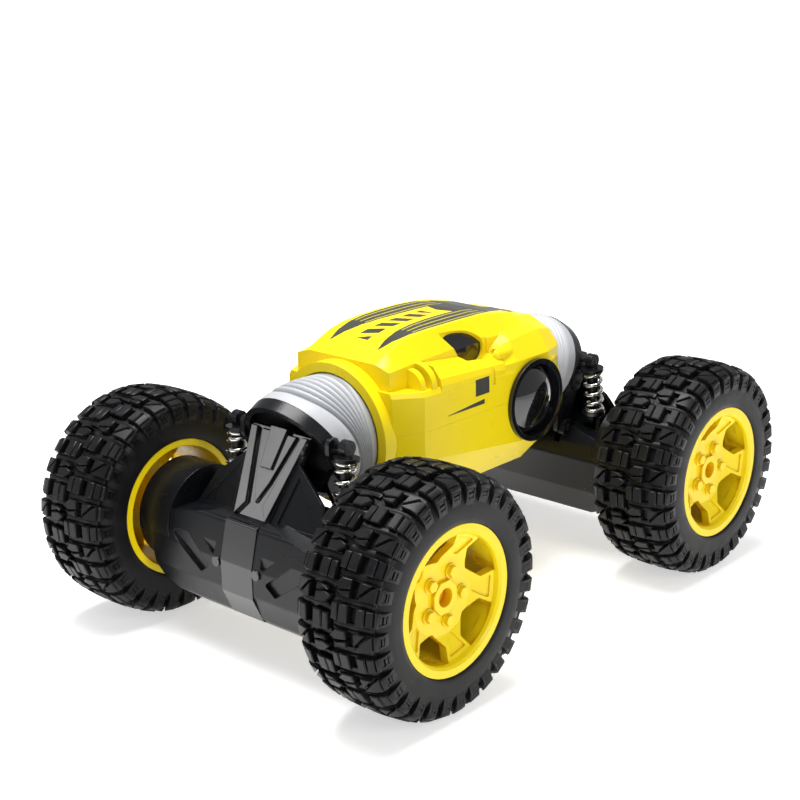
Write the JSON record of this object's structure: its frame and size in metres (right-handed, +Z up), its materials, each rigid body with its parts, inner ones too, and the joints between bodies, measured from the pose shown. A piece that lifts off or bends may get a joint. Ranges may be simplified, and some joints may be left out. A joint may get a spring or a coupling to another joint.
{
  "type": "radio-controlled stunt car",
  "caption": "Four-wheel-drive toy stunt car: a yellow pod between two axle units on twisting necks with rubber bellows, big treaded tyres and coil-over shocks.",
  "frame": {"origin": "on the ground under the centre of the car", "axes": "+X forward along the car, +Y to the car's left, +Z up"},
  "size_m": [0.3898, 0.2682, 0.1735],
  "materials": {
    "tyre_rubber": "dull black moulded rubber",
    "yellow_shell": "semi-gloss yellow ABS",
    "black_plastic": "satin black ABS",
    "gloss_black": "polished black ABS",
    "dark_lens": "smoked glossy dome",
    "grey_rubber": "soft light grey silicone",
    "steel": "zinc-plated steel",
    "spring_steel": "bright nickel-plated spring wire",
    "gear_nylon": "white nylon",
    "brass_gear": "plain brass",
    "battery_wrap": "blue shrink wrap",
    "board_green": "green solder mask"
  },
  "bodies": {
    "pod": {"battery_door": "black_plastic", "battery_pack": "battery_wrap", "bellows_front": "grey_rubber", "bellows_rear": "grey_rubber", "circuit_board": "board_green", "lamp_cover_left": "gloss_black", "lamp_cover_right": "gloss_black", "lower_shell": "yellow_shell", "neck_ring_front": "yellow_shell", "neck_ring_rear": "yellow_shell", "porthole_lens_left": "dark_lens", "porthole_lens_right": "dark_lens", "porthole_ring_left": "gloss_black", "porthole_ring_right": "gloss_black", "shell_screws": "steel", "twist_motor_front": "steel", "twist_motor_rear": "steel", "upper_shell": "yellow_shell"},
    "collar_front": {"collar_front": "black_plastic", "shock_bodies_front": "black_plastic", "shock_springs_front": "spring_steel"},
    "collar_rear": {"collar_rear": "black_plastic", "shock_bodies_rear": "black_plastic", "shock_springs_rear": "spring_steel"},
    "axle_front": {"axle_housing_front": "black_plastic", "tower_cover_front": "gloss_black", "gearbox_cover_front": "gloss_black", "drive_motors_front": "steel", "gearbox_screws_front": "steel"},
    "axle_rear": {"axle_housing_rear": "black_plastic", "tower_cover_rear": "gloss_black", "gearbox_cover_rear": "gloss_black", "drive_motors_rear": "steel", "gearbox_screws_rear": "steel"},
    "shock_rods_front": {"shock_rods_front": "steel"},
    "shock_rods_rear": {"shock_rods_rear": "steel"},
    "switch": {"power_switch": "black_plastic"},
    "wheel_front_left": {"tyre_front_left": "tyre_rubber", "rim_front_left": "yellow_shell", "axle_shaft_front_left": "steel", "drive_gear_front_left": "gear_nylon"},
    "pinion_front_left": {"motor_pinion_front_left": "brass_gear"},
    "wheel_front_right": {"tyre_front_right": "tyre_rubber", "rim_front_right": "yellow_shell", "axle_shaft_front_right": "steel", "drive_gear_front_right": "gear_nylon"},
    "pinion_front_right": {"motor_pinion_front_right": "brass_gear"},
    "wheel_rear_left": {"tyre_rear_left": "tyre_rubber", "rim_rear_left": "yellow_shell", "axle_shaft_rear_left": "steel", "drive_gear_rear_left": "gear_nylon"},
    "pinion_rear_left": {"motor_pinion_rear_left": "brass_gear"},
    "wheel_rear_right": {"tyre_rear_right": "tyre_rubber", "rim_rear_right": "yellow_shell", "axle_shaft_rear_right": "steel", "drive_gear_rear_right": "gear_nylon"},
    "pinion_rear_right": {"motor_pinion_rear_right": "brass_gear"}
  },
  "joints": [
    {"name": "twist_front", "type": "hinge", "parent": "pod", "child": "collar_front", "pos_m": [0.08, 0, 0.118], "axis": [1, 0, 0], "range_deg": [-90, 90], "deforming": ["bellows_front"]},
    {"name": "suspension_front", "type": "hinge", "parent": "collar_front", "child": "axle_front", "pos_m": [0.1, 0, 0.084], "axis": [0, -1, 0], "range_deg": [0, 4], "stiffness_Nm_per_rad": 6, "springref_deg": -6.88},
    {"name": "shock_slide_front", "type": "slide", "parent": "collar_front", "child": "shock_rods_front", "axis": [-0.102, 0, 0.9948], "range_m": [0, 0.0015], "deforming": ["shock_springs_front"]},
    {"name": "wheel_spin_front_left", "type": "hinge", "parent": "axle_front", "child": "wheel_front_left", "pos_m": [0.1274, 0.1067, 0.0675], "axis": [0, 1, 0], "continuous": true},
    {"name": "pinion_spin_front_left", "type": "hinge", "parent": "axle_front", "child": "pinion_front_left", "pos_m": [0.11405, 0.038, 0.0675], "axis": [0, 1, 0], "continuous": true},
    {"name": "wheel_spin_front_right", "type": "hinge", "parent": "axle_front", "child": "wheel_front_right", "pos_m": [0.1274, -0.1067, 0.0675], "axis": [0, 1, 0], "continuous": true},
    {"name": "pinion_spin_front_right", "type": "hinge", "parent": "axle_front", "child": "pinion_front_right", "pos_m": [0.11405, -0.038, 0.0675], "axis": [0, 1, 0], "continuous": true},
    {"name": "twist_rear", "type": "hinge", "parent": "pod", "child": "collar_rear", "pos_m": [-0.08, 0, 0.118], "axis": [1, 0, 0], "range_deg": [-90, 90], "deforming": ["bellows_rear"]},
    {"name": "suspension_rear", "type": "hinge", "parent": "collar_rear", "child": "axle_rear", "pos_m": [-0.1, 0, 0.084], "axis": [0, 1, 0], "range_deg": [0, 4], "stiffness_Nm_per_rad": 6, "springref_deg": -6.88},
    {"name": "shock_slide_rear", "type": "slide", "parent": "collar_rear", "child": "shock_rods_rear", "axis": [0.102, 0, 0.9948], "range_m": [0, 0.0015], "deforming": ["shock_springs_rear"]},
    {"name": "wheel_spin_rear_left", "type": "hinge", "parent": "axle_rear", "child": "wheel_rear_left", "pos_m": [-0.1274, 0.1067, 0.0675], "axis": [0, 1, 0], "continuous": true},
    {"name": "pinion_spin_rear_left", "type": "hinge", "parent": "axle_rear", "child": "pinion_rear_left", "pos_m": [-0.11405, 0.038, 0.0675], "axis": [0, 1, 0], "continuous": true},
    {"name": "wheel_spin_rear_right", "type": "hinge", "parent": "axle_rear", "child": "wheel_rear_right", "pos_m": [-0.1274, -0.1067, 0.0675], "axis": [0, 1, 0], "continuous": true},
    {"name": "pinion_spin_rear_right", "type": "hinge", "parent": "axle_rear", "child": "pinion_rear_right", "pos_m": [-0.11405, -0.038, 0.0675], "axis": [0, 1, 0], "continuous": true},
    {"name": "switch_slide", "type": "slide", "parent": "pod", "child": "switch", "axis": [1, 0, 0], "range_m": [0, 0.004]}
  ],
  "couplings": [
    {"joint": "shock_slide_front", "follows": "suspension_front", "m_per_rad": 0.017},
    {"joint": "pinion_spin_front_left", "follows": "wheel_spin_front_left", "ratio": -4},
    {"joint": "pinion_spin_front_right", "follows": "wheel_spin_front_right", "ratio": -4},
    {"joint": "shock_slide_rear", "follows": "suspension_rear", "m_per_rad": 0.017},
    {"joint": "pinion_spin_rear_left", "follows": "wheel_spin_rear_left", "ratio": -4},
    {"joint": "pinion_spin_rear_right", "follows": "wheel_spin_rear_right", "ratio": -4}
  ]
}
